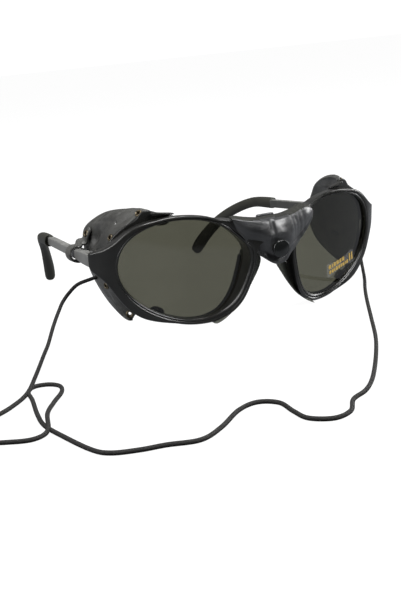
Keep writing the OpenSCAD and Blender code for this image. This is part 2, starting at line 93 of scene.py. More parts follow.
def egg(t, k):
    """Outline of a lens opening grown by k, at t degrees, for the left side: (x, height on the face)."""
    k += 1.5 * bump(t, 157, 17)
    c, s = math.cos(math.radians(t)), math.sin(math.radians(t))
    x = (LENS_A + k) * power(c, 2 / 2.2)
    z = (LENS_B + k) * power(s, 2 / 2.2) * (1 - 0.15 * x / LENS_A)
    turn_c, turn_s = math.cos(LENS_TURN), math.sin(LENS_TURN)
    return LENS_X + x * turn_c - z * turn_s, x * turn_s + z * turn_c


def front_y(x):
    curl = 4.5 * (max(0.0, abs(x) - 60) / 10) ** 2
    return WRAP_R - math.sqrt(WRAP_R**2 - x * x) - NOSE_RISE * math.exp(-((x / NOSE_W) ** 2)) + curl


def shell_y(x, r):
    return LENS_C[1] - math.sqrt(r * r - (abs(x) - LENS_C[0]) ** 2)


def rear_y(x):
    return shell_y(x, LENS_R - LENS_T - REAR_GAP) - 7 * math.exp(-((x / 9) ** 2))


def to_table(x, y, z):
    """From the leaning face to the table's frame."""
    c, s = math.cos(FACE_LEAN), math.sin(FACE_LEAN)
    return Vector((x, y * c - z * s + MID_Y, y * s + z * c + LENS_Z))


def through(keys, t):
    """Smooth values at t through given keys (t, a, b, ...)."""
    if t <= keys[0][0]:
        return keys[0][1:]
    if t >= keys[-1][0]:
        return keys[-1][1:]
    i = max(j for j in range(len(keys) - 1) if keys[j][0] <= t)
    p0, p1, p2, p3 = keys[max(i - 1, 0)], keys[i], keys[i + 1], keys[min(i + 2, len(keys) - 1)]
    h = p2[0] - p1[0]
    f = (t - p1[0]) / h
    out = []
    for n in range(1, len(p1)):
        m1 = (p2[n] - p0[n]) / (p2[0] - p0[0]) * h
        m2 = (p3[n] - p1[n]) / (p3[0] - p1[0]) * h
        out.append((2 * f**3 - 3 * f**2 + 1) * p1[n] + (f**3 - 2 * f**2 + f) * m1
                   + (3 * f**2 - 2 * f**3) * p2[n] + (f**3 - f**2) * m2)
    return tuple(out)


# ---- materials ----
def new_material(name):
    material = bpy.data.materials.new(name)
    material.use_nodes = True
    nodes, links = material.node_tree.nodes, material.node_tree.links
    return material, nodes, links, nodes["Principled BSDF"]


def coordinates(nodes, links, scale):
    place = nodes.new("ShaderNodeTexCoord")
    mapping = nodes.new("ShaderNodeMapping")
    mapping.inputs["Scale"].default_value = scale if hasattr(scale, "__len__") else (scale,) * 3
    links.new(place.outputs["Object"], mapping.inputs["Vector"])
    return mapping.outputs["Vector"]


def noise_node(nodes, links, vector, scale, detail=4.0, rough=0.55):
    tex = nodes.new("ShaderNodeTexNoise")
    tex.inputs["Scale"].default_value = scale
    tex.inputs["Detail"].default_value = detail
    tex.inputs["Roughness"].default_value = rough
    links.new(vector, tex.inputs["Vector"])
    return tex.outputs["Fac"]


def ramp(nodes, links, value, stops):
    node = nodes.new("ShaderNodeValToRGB")
    elements = node.color_ramp.elements
    while len(elements) < len(stops):
        elements.new(0.5)
    for element, (place, colour) in zip(elements, stops):
        element.position = place
        element.color = colour if len(colour) == 4 else (*colour, 1)
    links.new(value, node.inputs["Fac"])
    return node.outputs["Color"]


def bump_node(nodes, links, height, strength, distance, under=None):
    node = nodes.new("ShaderNodeBump")
    node.inputs["Strength"].default_value = strength
    node.inputs["Distance"].default_value = distance
    links.new(height, node.inputs["Height"])
    if under:
        links.new(under, node.inputs["Normal"])
    return node.outputs["Normal"]


def moulded(name, colour, roughness, grain=0.12, grain_size=0.25, specular=0.5, coat=0.0):
    """Moulded plastic: fine spark-eroded grain, faint flow marks and slightly uneven gloss."""
    material, nodes, links, shader = new_material(name)
    vector = coordinates(nodes, links, 1 / MM)
    fine = noise_node(nodes, links, vector, 1 / grain_size, 3)
    wide = noise_node(nodes, links, vector, 0.12, 4)
    tint = ramp(nodes, links, wide, [(0.3, [c * 0.8 for c in colour]), (0.7, [c * 1.25 for c in colour])])
    gloss = ramp(nodes, links, wide, [(0.3, [roughness * 0.85] * 3), (0.7, [roughness * 1.15] * 3)])
    links.new(tint, shader.inputs["Base Color"])
    links.new(gloss, shader.inputs["Roughness"])
    links.new(bump_node(nodes, links, fine, grain, 0.05 * MM), shader.inputs["Normal"])
    shader.inputs["Specular IOR Level"].default_value = specular
    shader.inputs["Coat Weight"].default_value = coat
    shader.inputs["Coat Roughness"].default_value = 0.08
    return material


def painted_inner_shade(material, side, share=0.3):
    """Paints shade into the base colour of the faces that look at the wearer's head: painted shade."""
    nodes, links = material.node_tree.nodes, material.node_tree.links
    shader = next(n for n in nodes if n.type == "BSDF_PRINCIPLED")
    tint = shader.inputs["Base Color"].links[0].from_socket
    spot = nodes.new("ShaderNodeTexCoord")
    parts = nodes.new("ShaderNodeSeparateXYZ")
    links.new(spot.outputs["Normal"], parts.inputs["Vector"])
    # faces that look inward get painted shade, more of it the more they face inward
    inward = nodes.new("ShaderNodeMapRange")
    inward.inputs["From Min"].default_value = -0.2 * side
    inward.inputs["From Max"].default_value = -0.8 * side
    links.new(parts.outputs["X"], inward.inputs["Value"])
    blend = nodes.new("ShaderNodeMix")
    blend.data_type = "RGBA"
    blend.blend_type = "MULTIPLY"
    blend.inputs["B"].default_value = (share, share, share, 1)
    links.new(inward.outputs["Result"], blend.inputs["Factor"])
    links.new(tint, blend.inputs["A"])
    links.new(blend.outputs["Result"], shader.inputs["Base Color"])
    return material


def leather(name, low, high, roughness=0.5, grain=0.5, sheen=0.0, coat=0.0):
    """Finished leather: cell grain, soft creases, pores and worn lighter patches."""
    material, nodes, links, shader = new_material(name)
    vector = coordinates(nodes, links, 1 / MM)
    cells = nodes.new("ShaderNodeTexVoronoi")
    cells.feature = "DISTANCE_TO_EDGE"
    cells.inputs["Scale"].default_value = 1.5
    warp = nodes.new("ShaderNodeVectorMath")
    warp.operation = "ADD"
    shake = nodes.new("ShaderNodeTexNoise")
    shake.inputs["Scale"].default_value = 0.9
    links.new(vector, shake.inputs["Vector"])
    links.new(vector, warp.inputs[0])
    links.new(shake.outputs["Color"], warp.inputs[1])
    links.new(warp.outputs[0], cells.inputs["Vector"])
    grooves = ramp(nodes, links, cells.outputs["Distance"], [(0.0, [0.0] * 3), (0.18, [1.0] * 3)])
    creases = noise_node(nodes, links, vector, 0.35, 6, 0.62)
    wide = noise_node(nodes, links, vector, 0.09, 3)
    tint = ramp(nodes, links, wide, [(0.32, low), (0.68, high)])
    dark = nodes.new("ShaderNodeMix")
    dark.data_type = "RGBA"
    dark.blend_type = "MULTIPLY"
    dark.inputs["Factor"].default_value = 0.35
    links.new(tint, dark.inputs["A"])
    links.new(grooves, dark.inputs["B"])
    links.new(dark.outputs["Result"], shader.inputs["Base Color"])
    shine = ramp(nodes, links, creases, [(0.3, [roughness * 0.8] * 3), (0.7, [roughness * 1.2] * 3)])
    links.new(shine, shader.inputs["Roughness"])
    folds = bump_node(nodes, links, creases, 0.35 * grain, 0.5 * MM)
    links.new(bump_node(nodes, links, grooves, grain, 0.06 * MM, folds), shader.inputs["Normal"])
    shader.inputs["Coat Weight"].default_value = coat
    shader.inputs["Coat Roughness"].default_value = 0.33
    shader.inputs["Sheen Weight"].default_value = sheen
    shader.inputs["Sheen Roughness"].default_value = 0.4
    return material


def metal(name, colour, roughness, patina, grain=6.0):
    """Metal with a darker tarnish that gathers in patches."""
    material, nodes, links, shader = new_material(name)
    vector = coordinates(nodes, links, 1 / MM)
    patches = noise_node(nodes, links, vector, 0.9, 5)
    fine = noise_node(nodes, links, vector, grain, 2)
    links.new(ramp(nodes, links, patches, [(0.35, patina), (0.65, colour)]), shader.inputs["Base Color"])
    gloss = ramp(nodes, links, patches, [(0.35, [roughness * 1.3] * 3), (0.65, [roughness * 0.9] * 3)])
    links.new(gloss, shader.inputs["Roughness"])
    links.new(bump_node(nodes, links, fine, 0.15, 0.03 * MM), shader.inputs["Normal"])
    shader.inputs["Metallic"].default_value = 1.0
    return material


def smoked_glass(name):
    """Polycarbonate lens, dark olive, with a trace of orange-peel in the surface."""
    material, nodes, links, shader = new_material(name)
    vector = coordinates(nodes, links, 1 / MM)
    wide = noise_node(nodes, links, vector, 0.05, 2)
    tint = ramp(nodes, links, wide, [(0.35, (0.072, 0.072, 0.053)), (0.65, (0.078, 0.078, 0.058))])
    links.new(tint, shader.inputs["Base Color"])
    links.new(bump_node(nodes, links, wide, 0.02, 0.2 * MM), shader.inputs["Normal"])
    shader.inputs["Roughness"].default_value = 0.015
    shader.inputs["IOR"].default_value = 1.5
    shader.inputs["Transmission Weight"].default_value = 1.0
    return material


def clear_film(name):
    material, nodes, links, shader = new_material(name)
    vector = coordinates(nodes, links, 1 / MM)
    wide = noise_node(nodes, links, vector, 0.4, 2)
    links.new(ramp(nodes, links, wide, [(0.3, (0.8, 0.8, 0.78)), (0.7, (0.9, 0.9, 0.88))]),
              shader.inputs["Base Color"])
    links.new(bump_node(nodes, links, wide, 0.1, 0.05 * MM), shader.inputs["Normal"])
    shader.inputs["Roughness"].default_value = 0.2
    shader.inputs["Alpha"].default_value = 0.05
    return material


def gold_ink(name):
    material, nodes, links, shader = new_material(name)
    vector = coordinates(nodes, links, 1 / MM)
    fine = noise_node(nodes, links, vector, 2.5, 3)
    links.new(ramp(nodes, links, fine, [(0.35, (0.50, 0.32, 0.06)), (0.65, (0.72, 0.50, 0.14))]),
              shader.inputs["Base Color"])
    links.new(bump_node(nodes, links, fine, 0.1, 0.02 * MM), shader.inputs["Normal"])
    shader.inputs["Roughness"].default_value = 0.4
    shader.inputs["Metallic"].default_value = 0.3
    return material


def braid(name):
    """Thin waxed cord: fine crossing strands and a dull surface."""
    material, nodes, links, shader = new_material(name)
    vector = coordinates(nodes, links, 1 / MM)
    cells = nodes.new("ShaderNodeTexVoronoi")
    cells.inputs["Scale"].default_value = 3.2
    links.new(vector, cells.inputs["Vector"])
    fuzz = noise_node(nodes, links, vector, 5, 3)
    links.new(ramp(nodes, links, fuzz, [(0.3, (0.006, 0.006, 0.006)), (0.7, (0.022, 0.021, 0.02))]),
              shader.inputs["Base Color"])
    links.new(bump_node(nodes, links, cells.outputs["Distance"], 0.7, 0.12 * MM), shader.inputs["Normal"])
    shader.inputs["Roughness"].default_value = 0.75
    shader.inputs["Specular IOR Level"].default_value = 0.3
    return material


FRAME_BLACK = moulded("frame_black", (0.0105, 0.0105, 0.0095), 0.3, grain=0.25, grain_size=0.3)
# the temple bars carry painted shade on their inner faces
TEMPLE_GREYS = {side: painted_inner_shade(moulded("temple_grey_" + name, (0.15, 0.15, 0.143), 0.38, grain=0.35,
                                            grain_size=0.3), side) for side, name in ((-1, "right"), (1, "left"))}
TIP_RUBBER = moulded("tip_rubber", (0.018, 0.018, 0.013), 0.55, grain=0.3, grain_size=0.4, specular=0.4)
PAD_RUBBER = moulded("pad_rubber", (0.085, 0.088, 0.072), 0.55, grain=0.5)
CLIP_BLACK = moulded("clip_black", (0.012, 0.012, 0.011), 0.25, grain=0.3, grain_size=0.5)
SNAP_BLACK = moulded("snap_black", (0.008, 0.009, 0.009), 0.22, grain=0.1, coat=0.3)
SHIELD_LEATHER = leather("shield_leather", (0.022, 0.022, 0.020), (0.070, 0.070, 0.064), 0.42, coat=0.3)
STRAP_LEATHER = leather("strap_leather", (0.06, 0.06, 0.055), (0.105, 0.105, 0.098), 0.5, grain=0.35)
NOSE_LEATHER = leather("nose_leather", (0.016, 0.017, 0.018), (0.045, 0.046, 0.048), 0.34, coat=0.7)
ROOF_AND_EDGE_LEATHER = leather("roof_and_edge_leather", (0.006, 0.006, 0.004), (0.012, 0.012, 0.007), 0.7, grain=0.3)
BRASS = metal("antique_brass", (0.20, 0.165, 0.11), 0.4, (0.05, 0.04, 0.028))
STEEL = metal("plain_steel", (0.45, 0.45, 0.44), 0.28, (0.22, 0.22, 0.21))
LENS_SMOKE = smoked_glass("lens_smoke")
FILM = clear_film("label_film")
GOLD = gold_ink("label_gold")
CORD_BLACK = braid("cord_black")


# ---- meshes ----
def skin(rings, closed_path=False, caps=True):
    """Points and faces of the surface through closed rings."""
    n, m = len(rings[0]), len(rings)
    points = [p for ring in rings for p in ring]
    faces = []
    for i in range(m if closed_path else m - 1):
        for k in range(n):
            near, far = i * n, (i + 1) % m * n
            faces.append((near + k, near + (k + 1) % n, far + (k + 1) % n, far + k))
    if caps and not closed_path:
        faces.append(tuple(range(n - 1, -1, -1)))
        faces.append(tuple((m - 1) * n + k for k in range(n)))
    return points, faces


def joined(*shapes):
    points, faces = [], []
    for more_points, more_faces in shapes:
        first = len(points)
        points += more_points
        faces += [tuple(i + first for i in face) for face in more_faces]
    return points, faces


def make(name, shape, materials, side=1, levels=2, unit=MM):
    """A smooth object from points and faces; side -1 mirrors it to the wearer's right."""
    points, faces = shape
    mesh = bpy.data.meshes.new(name)
    mesh.from_pydata([(p[0] * side * unit, p[1] * unit, p[2] * unit) for p in points], [], faces)
    tidy = bmesh.new()
    tidy.from_mesh(mesh)
    bmesh.ops.remove_doubles(tidy, verts=tidy.verts, dist=0.002 * unit)
    bmesh.ops.dissolve_degenerate(tidy, edges=tidy.edges, dist=0.001 * unit)
    bmesh.ops.recalc_face_normals(tidy, faces=tidy.faces)
    tidy.to_mesh(mesh)
    tidy.free()
    mesh.shade_smooth()
    for material in materials if isinstance(materials, list) else [materials]:
        mesh.materials.append(material)
    obj = bpy.data.objects.new(name, mesh)
    bpy.context.scene.collection.objects.link(obj)
    if levels:
        modifier = obj.modifiers.new("smooth", "SUBSURF")
        modifier.levels = modifier.render_levels = levels
    return obj


def settle(obj, nodes=(), body="front"):
    """Hides the CAD nodes that the piece stands for and hangs the piece on its body."""
    if nodes:
        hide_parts(*nodes)
    if body:
        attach(obj, body)
    return obj


def cut(obj, cutter):
    """Takes the cutter out of the object; both are made with unit 1, as small sizes spoil a boolean."""
    hole = obj.modifiers.new("holes", "BOOLEAN")
    hole.object = cutter
    hole.solver = "MANIFOLD"
    apply_modifiers(obj)
    obj.data.transform(Matrix.Scale(MM, 4))
    bpy.data.objects.remove(cutter)


def apply_modifiers(obj):
    """The object's mesh with its modifiers applied."""
    graph = bpy.context.evaluated_depsgraph_get()
    mesh = bpy.data.meshes.new_from_object(obj.evaluated_get(graph))
    obj.modifiers.clear()
    obj.data = mesh
    mesh.shade_smooth()
    return obj


def rounded_box(x0, x1, z0, z1, r, steps=3):
    """Outline of a rectangle with round corners, as (x, z)."""
    out = []
    for cx, cz, start in ((x1 - r, z1 - r, 0), (x0 + r, z1 - r, 90), (x0 + r, z0 + r, 180), (x1 - r, z0 + r, 270)):
        for i in range(steps):
            a = math.radians(start + 90 * i / (steps - 1))
            out.append((cx + r * math.cos(a), cz + r * math.sin(a)))
    return out


def lathe(profile, place, axis, segments=32):
    """A closed profile of (radius, height) turned around an axis through place."""
    up = Vector(axis).normalized()
    side = up.orthogonal().normalized()
    across = up.cross(side)
    rings = []
    for i in range(segments):
        a = 2 * math.pi * i / segments
        out = side * math.cos(a) + across * math.sin(a)
        rings.append([place + out * r + up * h for r, h in profile])
    return skin(rings, closed_path=True)


def band(path, width, thickness, across, r=0.5, steps=3):
    """A flat strip swept along a path; across is the direction of its width."""
    rings = []
    for i, p in enumerate(path):
        along = (path[min(i + 1, len(path) - 1)] - path[max(i - 1, 0)]).normalized()
        w = across(i) if callable(across) else Vector(across)
        w = (w - along * w.dot(along)).normalized()
        n = along.cross(w)
        outline = rounded_box(-width / 2, width / 2, -thickness / 2, thickness / 2, r, steps)
        rings.append([p + w * a + n * b for a, b in outline])
    return skin(rings)


def resampled(points, per_step):
    """Catmull-Rom points through a list of vectors."""
    out = []
    for i in range(len(points) - 1):
        a, b, c, d = points[max(i - 1, 0)], points[i], points[i + 1], points[min(i + 2, len(points) - 1)]
        for j in range(per_step):
            f = j / per_step
            out.append(b + 0.5 * f * ((c - a) + f * ((2 * a - 5 * b + 4 * c - d) + f * (3 * (b - c) + d - a))))
    return out + [points[-1]]


def placed(*points):
    return [Vector((x, y + MID_Y, z)) for x, y, z in points]


# ---- camera, first ----
CAMERA_PLACE = Vector((-235.0, -430.0 + MID_Y, 118.2)) * MM
CAMERA_TURN, CAMERA_DOWN, CAMERA_ROLL = math.radians(25.32), math.radians(12.6), math.radians(-5.61)
LENS_MM = 70.94


def add_camera():
    ahead = Vector((math.sin(CAMERA_TURN) * math.cos(CAMERA_DOWN), math.cos(CAMERA_TURN) * math.cos(CAMERA_DOWN),
                    -math.sin(CAMERA_DOWN)))
    level = Vector((math.cos(CAMERA_TURN), -math.sin(CAMERA_TURN), 0))
    over = level.cross(ahead)
    right = level * math.cos(CAMERA_ROLL) + over * math.sin(CAMERA_ROLL)
    up = over * math.cos(CAMERA_ROLL) - level * math.sin(CAMERA_ROLL)
    data = bpy.data.cameras.new("camera")
    data.lens = LENS_MM
    data.sensor_width = 36
    data.clip_start, data.clip_end = 0.02, 20
    camera = bpy.data.objects.new("camera", data)
    camera.matrix_world = Matrix((right, up, -ahead)).transposed().to_4x4()
    camera.location = CAMERA_PLACE
    bpy.context.scene.collection.objects.link(camera)
    bpy.context.scene.camera = camera


add_camera()


# ---- side shield surface, shared by the shields, their eyelets, the straps and the cord ----
def shield_front(u, w):
    corner = abs(2 * u - 1) ** 1.6
    grow, swell = (0.8 + 5 * corner, 0) if u < 0.5 else (0.8 + 2.4 * corner, 5 * corner)
    x, z = egg(66 - 138 * u, grow + swell * w)
    return to_table(x, rear_y(x) + 1.5, z)


def shield_rear(u):
    a = math.pi / 2 - math.pi * u
    c, up = max(math.cos(a), 0), a > 0
    return Vector((49.8 + 7.8 * c**0.6 + 4.6 * u * u, 19 + 37.6 * c ** (1 if up else 1.9) + MID_Y,
                   33 + (18.2 if up else 28.6) * math.sin(a)))


def shield_at(u, v):
    a = math.pi / 2 - math.pi * u
    out = Vector((math.cos(a), 0, math.sin(a)))
    swell = 1.6 * (math.cos(a) + 0.35 * (1 - u) ** 4)
    return (shield_front(u, 1 - (1 - v) ** 5) + (shield_rear(u) - shield_front(u, 1)) * v
            + out * swell * math.sin(math.pi * v))


def shield_normal(u, v):
    """Outward normal, taken a little further in at the corners, where the sheet's two directions run together."""
    u, v, e = clamp(u, 0.1, 0.93), clamp(v, 0.02, 0.85), 0.01
    n = (shield_at(u, v + e) - shield_at(u, v - e)).cross(shield_at(u - e, v) - shield_at(u + e, v))
    return n.normalized()


VENT_SPOTS = ((0.07, 0.08), (0.335, 0.11), (0.71, 0.26), (0.95, 0.27))
STRAP_SPOT = (0.385, 0.74)
CORD_SPOT = (0.645, 0.56)


# ---- neck cord ----
LIE = CORD_D / 2 + 0.05
CORD_FLOOR = placed(
    (-69, 41.6, 19.3), (-72.9, 43, 16), (-76.6, 41.8, 12.9), (-79.8, 38, 10.7), (-82.8, 34, 8.7),
    (-87, 28, 5.7), (-92.6, 19, 1.9), (-98.4, 8, LIE),
    (-111, -19, LIE), (-121, -39, LIE), (-131, -51, LIE), (-142, -60, LIE), (-150, -70, LIE),
    (-149, -80, LIE), (-142, -86, LIE), (-135, -88.5, LIE), (-129, -84, 1), (-125, -73, 2.9),
    (-117, -56, LIE), (-110.5, -46, LIE), (-108.5, -38.5, LIE), (-111, -33.5, LIE), (-116, -32.5, LIE),
    (-120, -37.5, LIE), (-122, -48, LIE),
    (-126, -65, LIE), (-128, -78, LIE), (-127, -92, LIE), (-124.5, -110, LIE), (-121, -117, LIE),
    (-113, -120.5, LIE), (-105, -122, LIE), (-95, -125, LIE), (-85, -119, LIE), (-73, -108, LIE),
    (-64.5, -105, LIE), (-59.5, -110.5, LIE), (-60.5, -121, LIE), (-60.5, -130, LIE), (-54.5, -135.5, LIE),
    (-47, -133, LIE), (-40, -124, LIE), (-32, -119, LIE), (-24, -111, LIE), (-13, -97, LIE),
    (0, -79, LIE), (10, -64, LIE), (24, -41, LIE), (41, -13, LIE), (53, 6, LIE), (63, 21, LIE),
    (71, 34, 2.6), (73.5, 40, 9.5), (71, 40.5, 17))


def cord_hole(d, side):
    p = shield_at(*CORD_SPOT) + shield_normal(*CORD_SPOT) * d
    return Vector((p.x * side, p.y, p.z))


def add_cord():
    depths = (-SHIELD_T - 0.9, 0, 2.6)
    route = [cord_hole(d, -1) for d in depths] + CORD_FLOOR + [cord_hole(d, 1) for d in reversed(depths)]
    data = bpy.data.curves.new("neck_cord", "CURVE")
    data.dimensions = "3D"
    data.bevel_depth = CORD_D / 2 * MM
    data.bevel_resolution = 4
    data.resolution_u = 8
    data.use_fill_caps = True
    spline = data.splines.new("BEZIER")
    spline.bezier_points.add(len(route) - 1)
    for i, point in enumerate(spline.bezier_points):
        reach = (route[min(i + 1, len(route) - 1)] - route[max(i - 1, 0)]) / 6
        point.co = route[i] * MM
        point.handle_left_type = point.handle_right_type = "FREE"
        point.handle_left = (route[i] - reach) * MM
        point.handle_right = (route[i] + reach) * MM
    data.materials.append(CORD_BLACK)
    obj = bpy.data.objects.new("neck_cord", data)
    bpy.context.scene.collection.objects.link(obj)
    tuple(cord_hole(0, -1) * MM)
    add_knots()
    settle(obj, ["cord"])


def add_knots():
    """Stop knots: a fat overhand knot inside each shield."""
    out = []
    for side, name in ((-1, "right"), (1, "left")):
        centre = cord_hole(-SHIELD_T - 2.1, side)
        axis = cord_hole(1, side) - cord_hole(0, side)
        strand = []
        turns, steps = 2, 40
        flat = axis.orthogonal().normalized()
        across = axis.normalized().cross(flat)
        for i in range(steps + 1):
            a = 2 * math.pi * turns * i / steps
            swell = 1.0 + 0.25 * math.cos(1.5 * a)
            strand.append(centre + (flat * math.cos(a) + across * math.sin(a)) * swell
                          + axis.normalized() * 0.55 * math.sin(1.5 * a))
        rings = []
        for i, p in enumerate(strand):
            along = (strand[min(i + 1, steps)] - strand[max(i - 1, 0)]).normalized()
            s = along.orthogonal().normalized()
            t = along.cross(s)
            r = CORD_D / 2 * (0.4 if i in (0, steps) else 1)
            rings.append([p + (s * math.cos(k * math.pi / 4) + t * math.sin(k * math.pi / 4)) * r for k in range(8)])
        obj = make("cord_stop_knot_" + name, skin(rings), CORD_BLACK, levels=1)
        out.append(settle(obj, ["cord_knot_" + name]))
    return out


add_cord()


# ---- front frame ----
# Outer outline of the left half at lens angle t: the end piece, and the bridge down to the middle.
END_KEYS = [(-90, 41.6, -23.7), (-80, 46.6, -22.7), (-70, 51, -21.3), (-60, 54.4, -19.3), (-50, 57.4, -16.6),
            (-40, 60, -13.3), (-30, 62.2, -9.8), (-20, 64.4, -6), (-12, 66.6, -3.1), (-8, 68.2, -1.5),
            (-5.6, 69.4, -0.2), (-4.4, 69.9, 0.7), (-3.6, 70, 1.6), (0, 70, 4), (3.2, 70, 6.2),
            (4.2, 69.85, 7), (6, 68.9, 7.7), (9, 67, 8.6), (15, 63.9, 10.7), (23, 60.6, 13.6),
            (32, 57.4, 16.6), (41, 54.2, 18.7), (50, 50.6, 20.1), (60, 46.5, 21.05)]
BRIDGE_KEYS = [(110, 22.1, 20.5), (116, 18, 20.05), (122, 12, 18.9), (128, 6.5, 17.95), (132.5, 2.5, 17.5),
               (136, 0, 17.4), (139, 0, 16.2), (143, 0, 14.3), (146, 0, 12.7), (148.5, 3.0, 12.3),
               (151, 5.4, 11.3), (154, 7.4, 9.6), (158, 8.3, 7.0)]
OUTLINE_STEPS = [-90 + 3 * i for i in range(27)] + [-9.5, -8, -6.8, -5.6, -5, -4.4, -3.9, -3.4, -2, 0, 2, 3.1, 3.6,
                 4.2, 5, 6, 7.5, 9] + [11 + 3 * i for i in range(33)] + [110 + 2 * i for i in range(11)] \
    + [132.5, 134.5, 136, 139, 143, 146, 148.5, 151, 154, 158, 161, 164, 167] \
    + [170 + 3.2 * i for i in range(31)]


def outline(t):
    if t <= 60:
        return through(END_KEYS, t)
    if 110 <= t <= 158:
        x, z = through(BRIDGE_KEYS, t)
        return (0, z) if 136 <= t <= 146 else (max(x, 0), z)
    return egg(t, RIM_W - 0.5 * math.sin(math.radians(t)) - 0.5 * bump(t, 248, 22))


def frame_section(t):
    """Closed section of the frame from the lens opening to the outer outline."""
    inner, outer = Vector(egg(t, 0)), Vector(outline(t))
    width = (outer - inner).length
    along = (outer - inner) / width
    bead = min(1.0, width / 3.1)
    edge = clamp(outer.x / 1.5)
    face = [(0, 1.0), (0.14, 0.62), (0.42, 0.28), (0.7, 0.06), (0.95, 0.04), (1.16, 0.3), (1.34, 0.4), (1.52, 0.28),
            (1.74, 0.08)]
    front = [(a * bead, off) for a, off in face]
    start, end = front[-1][0], width - 0.95 * edge
    front += [(mix(start, end, f), 0.02 * (1 - f)) for f in (0.3, 0.65, 1)]
    front += [(width - 0.45 * edge, 0.13 * edge), (width - 0.1 * edge, 0.5 * edge), (width, 1.0 * edge)]
    draft = 0.8 * edge * bead
    back = [(width - draft, 0.5 * edge), (width - draft - 0.2 * edge, 0.14 * edge), (width - draft - 0.7, 0)]
    back += [(mix(width - draft - 0.7, 0.6, f), 0) for f in (0.4, 0.75, 1)] + [(0.15, 0.12), (0, 0.5)]

    def point(a, depth):
        p = inner + along * a
        q = to_table(p.x, depth(p.x), p.y)
        q.y = min(q.y, HINGE_Y - 0.15 + MID_Y) if p.x > 60 else q.y
        return q

    ring = [point(a, lambda x, off=off: front_y(x) + off) for a, off in front]
    for f in (0.33, 0.67):
        ring.append(point(width - draft * f, lambda x, f=f: mix(front_y(x) + 1.0, rear_y(x) - 0.5, f)))
    ring += [point(a, lambda x, off=off: rear_y(x) - off) for a, off in back]
    for f in (0.33, 0.67):
        ring.append(point(0, lambda x, f=f: mix(rear_y(x) - 0.5, front_y(x) + 0.75, f)))
    return ring


def knuckle(z0, z1, r=1.9):
    profile = [(0.76, z0 + 0.1), (0.76, z1 - 0.1), (0.86, z1), (r - 0.2, z1), (r, z1 - 0.2), (r, z0 + 0.2),
               (r - 0.2, z0), (0.86, z0)]
    return lathe(profile, Vector((PIN_X, PIN_Y + MID_Y, 0)), (0, 0, 1), 24)


def lug(x0, x1, y0, y1, z0, z1):
    rings = []
    for y, inset in ((y0, 0.1), (y0 + 0.1, 0), (y1 - 0.1, 0), (y1, 0.1)):
        ring = rounded_box(x0 + inset, x1 - inset, z0 + inset, z1 - inset, 0.15)
        rings.append([Vector((x, y + MID_Y, z)) for x, z in ring])
    return skin(rings)


def add_frame():
    sections = [frame_section(t) for t in OUTLINE_STEPS]
    half = skin(sections, closed_path=True)
    seam = {i for i, p in enumerate(half[0]) if abs(p.x) < 1e-6}
    faces = [face for face in half[1] if not all(i in seam for i in face)]
    other = [Vector((-p.x, p.y, p.z)) for p in half[0]]
    body = joined((half[0], faces), (other, [tuple(reversed(face)) for face in faces]))
    obj = make("frame_front", body, FRAME_BLACK)
    settle(obj, ["front_frame"])
    for side, name in ((-1, "right"), (1, "left")):
        ears = joined(knuckle(28.4, 30.9), knuckle(33, 35), lug(64.7, 67.7, 20.5, 23.6, 28.45, 30.85),
                      lug(64.7, 67.7, 20.5, 23.6, 33.05, 34.95))
        settle(make("hinge_ears_" + name, ears, FRAME_BLACK, side, 0))


add_frame()


# ---- lenses and the label ----
def shell_patch(outline_at, count, r_front, r_back, shrink=(0, 0.3, 0.55, 0.75, 0.88, 0.95, 0.985, 1)):
    """A curved plate of the lens's own shape inside an outline given as a function of its step."""
    outer = [Vector(outline_at(i)) for i in range(count)]
    middle = sum(outer, Vector((0, 0))) / count
    def layer(r, factor, depth=0.0):
        ring = []
        for p in outer:
            q = middle + (p - middle) * factor
            ring.append(to_table(q.x, shell_y(q.x, r) + depth, q.y))
        return ring
    rings = [layer(r_front, f) for f in shrink[1:]]
    rings += [layer(r_back, f) for f in reversed(shrink[1:])]
    points, faces = skin(rings, caps=False)
    for r, ring in ((r_front, 0), (r_back, len(rings) - 1)):
        points.append(to_table(middle.x, shell_y(middle.x, r), middle.y))
        hub = len(points) - 1
        faces += [(hub, ring * count + i, ring * count + (i + 1) % count) for i in range(count)]
    return points, faces


def add_lenses():
    count = 72
    for side, name in ((-1, "right"), (1, "left")):
        shape = shell_patch(lambda i: egg(360 * i / count, 0.7), count, LENS_R, LENS_R - LENS_T)
        obj = make("smoked_lens_" + name, shape, LENS_SMOKE, side, 1)
        settle(obj, ["lens_" + name])


LABEL_C, LABEL_TURN, LABEL_W, LABEL_H = Vector((43.2, -12.4)), math.radians(9), 18.6, 6.2


def label_box(x0, x1, z0, z1, r, lift, steps=4):
    """A thin rounded rectangle on the label, from the label's own corner."""
    corner = rounded_box(x0 - LABEL_W / 2, x1 - LABEL_W / 2, z0 - LABEL_H / 2, z1 - LABEL_H / 2, r, steps)
    c, s = math.cos(LABEL_TURN), math.sin(LABEL_TURN)
    spots = [LABEL_C + Vector((x * c - z * s, x * s + z * c)) for x, z in corner]
    return shell_patch(lambda i: spots[i], len(spots), LENS_R + lift + 0.04, LENS_R + lift,
                       shrink=(0, 0.5, 0.97, 1))


def add_label():
    """A clear film with two rows of plain bars and two upright ones: no letters."""
    film = make("label_film", label_box(0, LABEL_W, 0, LABEL_H, 0.8, 0.06, 6), FILM, 1, 0)
    settle(film, ["lens_sticker"])
    bars = []
    x = 1.4
    for width in (1.5, 0.7, 1.3, 1.5, 1.3, 1.5):
        bars.append(label_box(x, x + width, 3.6, 5.4, 0.12, 0.12))
        x += width + 0.55
    x = 1.4
    for width in (1.1, 1.3, 0.8, 1.4, 1.1, 1.0, 1.3, 0.6, 1.2):
        bars.append(label_box(x, x + width, 1.2, 2.8, 0.12, 0.12))
        x += width + 0.4
    for x0 in (15.3, 16.9):
        bars.append(label_box(x0, x0 + 0.9, 1.4, 5.2, 0.4, 0.12))
    settle(make("label_bars", joined(*bars), GOLD, 1, 0))


add_lenses()
add_label()


